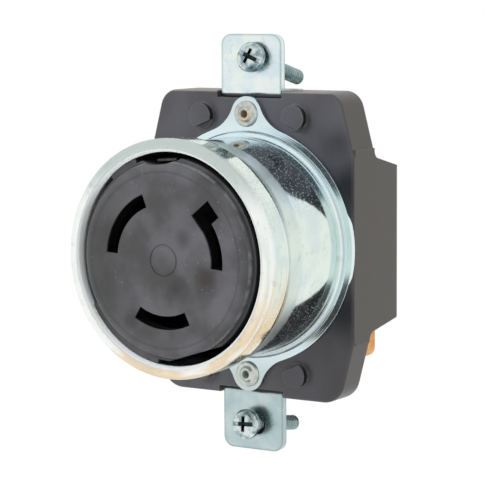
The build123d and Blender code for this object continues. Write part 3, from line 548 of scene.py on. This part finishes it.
finishes = {f.slot: f.material for f in (
    zinc, strap, screw_zinc, rivet_zinc, nickel, spring_temper, brass, face, housing_black, cover_black,
    lacquer, fibre)}

# %% [markdown]
# ## Finishes for the solids
# The record names the slot of each node, and the finishes carry the slots' names, so the solids take
# theirs by name.

# %% Dress every solid
for entry in frame["record"]["subparts"]:
    solid = nodes[entry["node"]]
    solid.data.materials.clear()
    solid.data.materials.append(finishes[entry["material_slot"]])

# %% [markdown]
# ## Screw threads with Geometry Nodes
# A thread is a rule, not a shape: the radius at a point depends on how far along and how far round it is.
# So the tree starts from a flat grid, reads each point's place on it as (along, round), and puts the point
# where the rule says. Both ends close on the axis, and Merge by Distance welds the seam and the poles.

# %% The thread tree
FLOAT, WHOLE = "NodeSocketFloat", "NodeSocketInt"
THREAD_INPUTS = {
    "Length": FLOAT, "Major Radius": FLOAT, "Root Radius": FLOAT, "Pitch": FLOAT, "Point": FLOAT,
    "Neck Start": FLOAT, "Neck End": FLOAT, "Neck Radius": FLOAT, "Rows": WHOLE, "Around": WHOLE,
    "Material": "NodeSocketMaterial"}
RIDGE_PEAK, RIDGE_FALL = 1.15, 1.3
POINT_TAPER = 0.4


def thread_tree():
    """Node group that winds a thread of the given sizes along z, from the origin up."""
    group = bpy.data.node_groups.new("screw thread", "GeometryNodeTree")
    for name, kind in THREAD_INPUTS.items():
        group.interface.new_socket(name, in_out="INPUT", socket_type=kind)
    group.interface.new_socket("Geometry", in_out="OUTPUT", socket_type="NodeSocketGeometry")
    tree = Tree(group)
    given = {name: tree.node("NodeGroupInput", output=name) for name in THREAD_INPUTS}
    length, rows, pitch = given["Length"], given["Rows"], given["Pitch"]
    grid = tree.node("GeometryNodeMeshGrid", inputs={
        "Size X": 1.0, "Size Y": 1.0, "Vertices X": rows, "Vertices Y": given["Around"] + 1})
    spot = tree.node("ShaderNodeSeparateXYZ", inputs={0: tree.node("GeometryNodeInputPosition")})
    row = (spot + 0.5) * (rows - 1)
    turn = Signal(tree, spot.socket.node.outputs[1]) + 0.5
    share = (row - 1) / (rows - 3)
    along = share.math("MAXIMUM", 0.0).math("MINIMUM", 1.0) * length
    phase = along / pitch - turn
    wave = phase.math("FRACT") * 2 - 1
    ridge = RIDGE_PEAK - RIDGE_FALL * wave.math("ABSOLUTE")
    ridge = ridge.math("MAXIMUM", 0.0).math("MINIMUM", 1.0)
    radius = given["Root Radius"] + (given["Major Radius"] - given["Root Radius"]) * ridge
    past = (along - length + given["Point"]) / given["Point"]
    cone = given["Major Radius"] * (1 - POINT_TAPER * past.math("MAXIMUM", 0.0))
    radius = radius.math("MINIMUM", cone)
    necked = along.math("GREATER_THAN", given["Neck Start"]) * along.math("LESS_THAN", given["Neck End"])
    radius = radius + (given["Neck Radius"] - radius) * necked
    inside = row.math("GREATER_THAN", 0.5) * row.math("LESS_THAN", rows - 1.5)
    radius, angle = radius * inside, turn * math.tau
    place = tree.node("ShaderNodeCombineXYZ", inputs={
        0: radius * angle.math("COSINE"), 1: radius * angle.math("SINE"), 2: along})
    wound = tree.node("GeometryNodeSetPosition", inputs={"Geometry": grid, "Position": place})
    welded = tree.node("GeometryNodeMergeByDistance", inputs={"Geometry": wound, "Distance": 0.004 * MM})
    real = tree.node("GeometryNodeRealizeInstances", inputs={"Geometry": welded})
    done = tree.node("GeometryNodeSetMaterial", inputs={"Geometry": real, "Material": given["Material"]})
    output = group.nodes.new("NodeGroupOutput")
    group.links.new(done.socket, output.inputs["Geometry"])
    return group


thread_group = thread_tree()
print("thread tree:", len(thread_group.nodes), "nodes")


# %% [markdown]
# ## Winding a thread
# The tree stands in a Nodes modifier for a moment. Its inputs are set by their sockets' identifiers, the
# evaluated result becomes a plain mesh, and that mesh is turned to lie along its screw. A frame whose z
# axis is the screw's own direction does the turning.


# %% Wind a thread along a screw
def along_axis(start, axis):
    """Place whose origin is start and whose z axis runs along axis."""
    turn = Vector((0, 0, 1)).rotation_difference(Vector(axis).normalized())
    return Matrix.Translation(Vector(start)) @ turn.to_matrix().to_4x4()


def outward(mesh, crease_deg=32):
    """Welds a mesh, closes it, points its faces out, and keeps hard edges hard under smooth shading."""
    build = bmesh.new()
    build.from_mesh(mesh)
    bmesh.ops.remove_doubles(build, verts=build.verts, dist=0.002 * MM)
    open_edges = [e for e in build.edges if e.is_boundary]
    if open_edges:
        bmesh.ops.holes_fill(build, edges=open_edges, sides=0)
    bmesh.ops.recalc_face_normals(build, faces=build.faces)
    for edge in build.edges:
        edge.smooth = edge.calc_face_angle(0.0) < math.radians(crease_deg)
    for face in build.faces:
        face.smooth = True
    build.to_mesh(mesh)
    build.free()
    return mesh


def thread_mesh(name, material, **sizes):
    """Plain mesh from the thread tree, its inputs given by name with _ for a space."""
    flat = bpy.data.objects.new(name, bpy.data.meshes.new(name))
    bpy.context.scene.collection.objects.link(flat)
    winder = flat.modifiers.new("thread", "NODES")
    winder.node_group = thread_group
    items = thread_group.interface.items_tree
    sockets = {item.name: item.identifier for item in items if item.in_out == "INPUT"}
    for key, value in {"Material": material, **sizes}.items():
        winder[sockets[key.replace("_", " ")]] = value
    graph = bpy.context.evaluated_depsgraph_get()
    mesh = bpy.data.meshes.new_from_object(flat.evaluated_get(graph))
    bpy.data.objects.remove(flat)
    return outward(mesh)


PITCH = 25.4 / 32 * MM
ROOT_DEPTH = 0.55 * PITCH


def machine_thread(name, material, length, major, point, neck=(1.0, 1.0, 0.0), rows_a_turn=12):
    """Thread of 32 turns to the inch, its flanks about 70 degrees apart."""
    rows = int(length / PITCH * rows_a_turn)
    return thread_mesh(name, material, Length=length, Major_Radius=major, Root_Radius=major - ROOT_DEPTH,
                       Pitch=PITCH, Point=point, Neck_Start=neck[0], Neck_End=neck[1], Neck_Radius=neck[2],
                       Rows=rows, Around=48)


# %% [markdown]
# ## Threaded mounting screws
# The head could be modelled again, but the solid's own already has the right dome and cross recess. So a
# copy of its mesh is cut off at the underside and closed there. The thread starts inside it and runs to the
# tip, with the plain neck that the fibre washer sits on.


# %% A head from its solid
def half_of_solid(node, place, keep_below):
    """Copy of a solid's mesh in the place's own axes, without the faces past keep_below along z."""
    mesh = nodes[node].data.copy()
    mesh.transform(place.inverted())
    build = bmesh.new()
    build.from_mesh(mesh)
    bmesh.ops.remove_doubles(build, verts=build.verts, dist=0.001 * MM)
    far = [f for f in build.faces if f.calc_center_median().z > keep_below]
    bmesh.ops.delete(build, geom=far, context="FACES")
    build.to_mesh(mesh)
    build.free()
    return outward(mesh)


def join_meshes(name, meshes, place, material):
    """One object at the world origin that holds all these meshes, laid in their place."""
    build = bmesh.new()
    for mesh in meshes:
        build.from_mesh(mesh)
    whole = bpy.data.meshes.new(name)
    build.to_mesh(whole)
    build.free()
    whole.transform(place)
    whole.materials.clear()
    whole.materials.append(material)
    piece = bpy.data.objects.new(name, whole)
    bpy.context.scene.collection.objects.link(piece)
    return piece


# %% [markdown]
# ## Head and shank together
# The mount gives the middle and the length of the thread's free stretch behind the washer. Ahead of that
# stretch the screw is plain for two millimetres, and threaded again up to the head's underside.

# %% Two mounting screws
NECK_LENGTH, NECK_FROM, NECK_R, TIP = 6.6 * MM, 4.6 * MM, 1.35 * MM, 0.7 * MM
for side in ("top", "bottom"):
    mount = mounts[f"mounting_screw_{side}"]
    axis, size = Vector(mount["axis"]), mount["dims"]
    free = size["length_mm"] * MM
    underside = Vector(mount["pos_m"]) - axis * (free / 2 + NECK_LENGTH)
    place = along_axis(underside, axis)
    shank = machine_thread("shank", screw_zinc.material, NECK_LENGTH + free + TIP, size["r_mm"] * MM, TIP,
                           neck=(NECK_FROM, NECK_LENGTH, NECK_R))
    head = half_of_solid(f"mounting_screw_{side}", place, 0.01 * MM)
    screw = join_meshes(f"screw_with_thread_{side}", (head, shank), place, screw_zinc.material)
    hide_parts(f"mounting_screw_{side}")
    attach(screw, f"screw_{side}")
    print(screw.name, "faces:", len(screw.data.polygons))

# %% [markdown]
# ## Clamping screws
# The set screws are headless, with a hexagon socket in the outer end. The thread's rule could flatten that
# end round a hexagon, but a Boolean that takes a prism out of the finished thread is simpler and exact.


# %% Set screws
def hexagon(width, depth):
    """Prism for a hexagon socket, its top at z = 0."""
    build = bmesh.new()
    bmesh.ops.create_cone(build, cap_ends=True, segments=6, radius1=width / math.sqrt(3),
                          radius2=width / math.sqrt(3), depth=2 * depth)
    mesh = bpy.data.meshes.new("hexagon")
    build.to_mesh(mesh)
    build.free()
    return mesh


def cut(mesh, tool_mesh):
    """The mesh with the tool's shape taken out of it."""
    body, tool = bpy.data.objects.new("body", mesh), bpy.data.objects.new("tool", tool_mesh)
    for thing in (body, tool):
        bpy.context.scene.collection.objects.link(thing)
    knife = body.modifiers.new("cut", "BOOLEAN")
    knife.operation, knife.object, knife.solver = "DIFFERENCE", tool, "EXACT"
    graph = bpy.context.evaluated_depsgraph_get()
    result = bpy.data.meshes.new_from_object(body.evaluated_get(graph))
    bpy.data.objects.remove(body)
    bpy.data.objects.remove(tool)
    return outward(result)


KEY_WIDTH, KEY_DEPTH, GRUB_POINT = 2.0 * MM, 2.0 * MM, 0.4 * MM
for pole in ("right", "left", "bottom"):
    low_corner, high_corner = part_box(f"set_screw_{pole}")
    middle, length = (low_corner + high_corner) / 2, high_corner.z - low_corner.z
    outwards = math.copysign(1, middle.z)
    outer_end = Vector((middle.x, middle.y, middle.z + outwards * length / 2))
    place = along_axis(outer_end, (0, 0, -outwards))
    radius = (high_corner.x - low_corner.x) / 2
    grub = machine_thread("grub", nickel.material, length, radius, GRUB_POINT)
    socketed = cut(grub, hexagon(KEY_WIDTH, KEY_DEPTH))
    screw = join_meshes(f"set_screw_thread_{pole}", (socketed,), place, nickel.material)
    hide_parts(f"set_screw_{pole}")
    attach(screw, f"clamp_screw_{pole}")
print("set screws:", len(screw.data.polygons), "faces each")

# %% [markdown]
# ## The earthing screw
# Its slotted hexagon head could be built anew, but the solid's own is already right. So the functions that
# made the mounting screws make this one too, with a thread from the same tree.

# %% Earthing screw
low_corner, high_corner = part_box("ground_screw")
head_height, shank_r, shank_point = 2.6 * MM, 2.08 * MM, 0.6 * MM
middle = (low_corner + high_corner) / 2
underside = Vector((middle.x, high_corner.y - head_height, middle.z))
place = along_axis(underside, (0, -1, 0))
shank = machine_thread("shank", lacquer.material, underside.y - low_corner.y, shank_r, shank_point)
head = half_of_solid("ground_screw", place, 0.01 * MM)
screw = join_meshes("ground_screw_thread", (head, shank), place, lacquer.material)
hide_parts("ground_screw")
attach(screw, "ground_head")
print(screw.name, "faces:", len(screw.data.polygons))

# %% [markdown]
# ## The white room
# A product table stands in a white room. A ready-made studio could be loaded to light it, but a plain room
# needs no file. Light Path tells the kinds of ray apart, so the room is pure white to the camera and to every
# mirror and still lights the object at a lower level. One side is open, in front of the object and steeply above and
# below it. Only what has been mirrored twice looks out there, which gives the bright shell its dark fields.


# %% White room
def seen_directly(tree):
    """1 for rays of the camera, of reflections and of glass, 0 for rays that only carry light."""
    kinds = [tree.node("ShaderNodeLightPath", output=name)
             for name in ("Is Camera Ray", "Is Glossy Ray", "Is Transmission Ray")]
    return kinds[0].math("MAXIMUM", kinds[1].math("MAXIMUM", kinds[2]))


ALONG_Y = 1
OPEN_LIMITS = ((0, 0.50, 0.40), (ALONG_Y, 0.35, 0.60), (2, 0.32, 0.40))


def open_side(tree):
    """1 for a twice mirrored ray that runs forward and steeply up or down, 0 for all others."""
    incoming = tree.node("ShaderNodeNewGeometry", output="Incoming")
    way = tree.node("ShaderNodeSeparateXYZ", inputs={0: incoming})
    inside = tree.node("ShaderNodeLightPath", output="Glossy Depth").math("GREATER_THAN", 1.5)
    for axis, closed, opened in OPEN_LIMITS:
        part = Signal(tree, way.socket.node.outputs[axis])
        part = part if axis == ALONG_Y else part.math("ABSOLUTE")
        inside = inside * tree.node("ShaderNodeMapRange", {"clamp": True},
                                    {0: part, 1: closed, 2: opened, 3: 0.0, 4: 1.0})
    return inside


ROOM_LIGHT, OPEN_SIDE_DIM = 0.45, 0.90
world = bpy.data.worlds.new("white room")
bpy.context.scene.world = world
world.use_nodes = True
room = Tree(world.node_tree)
room.tree.nodes.clear()
lighting = room.node("ShaderNodeBackground", inputs={"Color": (1, 1, 1, 1), "Strength": ROOM_LIGHT})
looking = room.node("ShaderNodeBackground", inputs={
    "Color": (1, 1, 1, 1), "Strength": 1 - OPEN_SIDE_DIM * open_side(room)})
shown = room.node("ShaderNodeMixShader", inputs={0: seen_directly(room), 1: lighting, 2: looking})
room.tree.links.new(shown.socket, room.tree.nodes.new("ShaderNodeOutputWorld").inputs["Surface"])
print("room:", len(room.tree.nodes), "nodes")

# %% [markdown]
# ## The floor
# It lies well below the object and takes a weak shadow: a share of it is a matt sheet, and the rest shines
# like the room. A shadow catcher could do it, but it shows nothing to mirrors. The shining share's level is
# worked out so that both together are the room's white, and no line shows where the floor ends.

# %% Floor
SHADOW_SHARE, PAPER = 0.15, 0.9
paper = bpy.data.materials.new("pale floor")
paper.use_nodes = True
sheet = Tree(paper.node_tree)
sheet.tree.nodes.clear()
matte = sheet.node("ShaderNodeBsdfDiffuse", inputs={"Color": (PAPER, PAPER, PAPER, 1)})
level = (1 - SHADOW_SHARE * ROOM_LIGHT * PAPER) / (1 - SHADOW_SHARE)
bright = sheet.node("ShaderNodeEmission", inputs={
    "Color": (1, 1, 1, 1), "Strength": level * (1 - OPEN_SIDE_DIM * open_side(sheet))})
mixed = sheet.node("ShaderNodeMixShader", inputs={
    0: seen_directly(sheet) * (1 - SHADOW_SHARE * (1 - open_side(sheet))), 1: matte, 2: bright})
sheet.tree.links.new(mixed.socket, sheet.tree.nodes.new("ShaderNodeOutputMaterial").inputs["Surface"])
FLOOR_DROP, FLOOR_HALF = 0.22, 4.0
build = bmesh.new()
bmesh.ops.create_grid(build, x_segments=1, y_segments=1, size=FLOOR_HALF)
floor_mesh = bpy.data.meshes.new("floor")
build.to_mesh(floor_mesh)
build.free()
floor_mesh.transform(Matrix.Translation((0, 0, solid_box[0].z - FLOOR_DROP)))
floor_mesh.materials.append(paper)
floor = bpy.data.objects.new("floor", floor_mesh)
bpy.context.scene.collection.objects.link(floor)
print("floor:", round(solid_box[0].z - FLOOR_DROP, 3), "m high, level", round(level, 3))

# %% [markdown]
# ## Lamps
# Two soft lamps give the light a side: a key from the left and above, and a weak fill from the right. Their
# images in the metal would burn out a screw head that faces one, so mirrors don't see them.


# %% Lamps
def soft_lamp(name, position, size, power):
    """Square lamp that looks at the world origin."""
    data = bpy.data.lights.new(name, "AREA")
    data.shape, data.size, data.energy = "SQUARE", size, power
    lamp = bpy.data.objects.new(name, data)
    lamp.location = position
    lamp.rotation_euler = (-Vector(position)).to_track_quat("-Z", "Y").to_euler()
    lamp.visible_glossy = False
    bpy.context.scene.collection.objects.link(lamp)
    print(name, "lamp:", power, "W")


soft_lamp("key", (-0.62, -0.92, 0.66), 0.4, 9.0)
soft_lamp("fill", (0.9, -0.35, 0.35), 0.7, 1.5)

# %% [markdown]
# ## Camera
# The camera looks at the housing's front from the right and a little above, with a long lens, and is rolled
# by a hair. Its three directions are worked out first and then set as the columns of its matrix.

# %% Camera
AZIMUTH, ELEVATION, ROLL = (math.radians(v) for v in (32.337, 6.622, -0.39))
DISTANCE, SHIFT_RIGHT, SHIFT_UP, LENS = 486.56 * MM, -1.649 * MM, 0.382 * MM, 159.34
FRONT_OFFSET = Vector((0, front_y, 0))
level_way = Vector((math.sin(AZIMUTH), -math.cos(AZIMUTH), 0))
back = level_way * math.cos(ELEVATION) + Vector((0, 0, math.sin(ELEVATION)))
right = (-back).cross(Vector((0, 0, 1))).normalized()
up = right.cross(-back)
right, up = right * math.cos(ROLL) + up * math.sin(ROLL), up * math.cos(ROLL) - right * math.sin(ROLL)
data = bpy.data.cameras.new("camera")
data.lens, data.sensor_width = LENS, 36.0
camera = bpy.data.objects.new("camera", data)
spot = right * SHIFT_RIGHT + up * SHIFT_UP + back * DISTANCE + FRONT_OFFSET
camera.matrix_world = Matrix.Translation(spot) @ Matrix((right, up, back)).transposed().to_4x4()
bpy.context.scene.collection.objects.link(camera)
bpy.context.scene.camera = camera
bpy.context.scene.view_settings.view_transform = "Standard"
print("camera at", [round(v, 4) for v in camera.location], "lens", LENS)
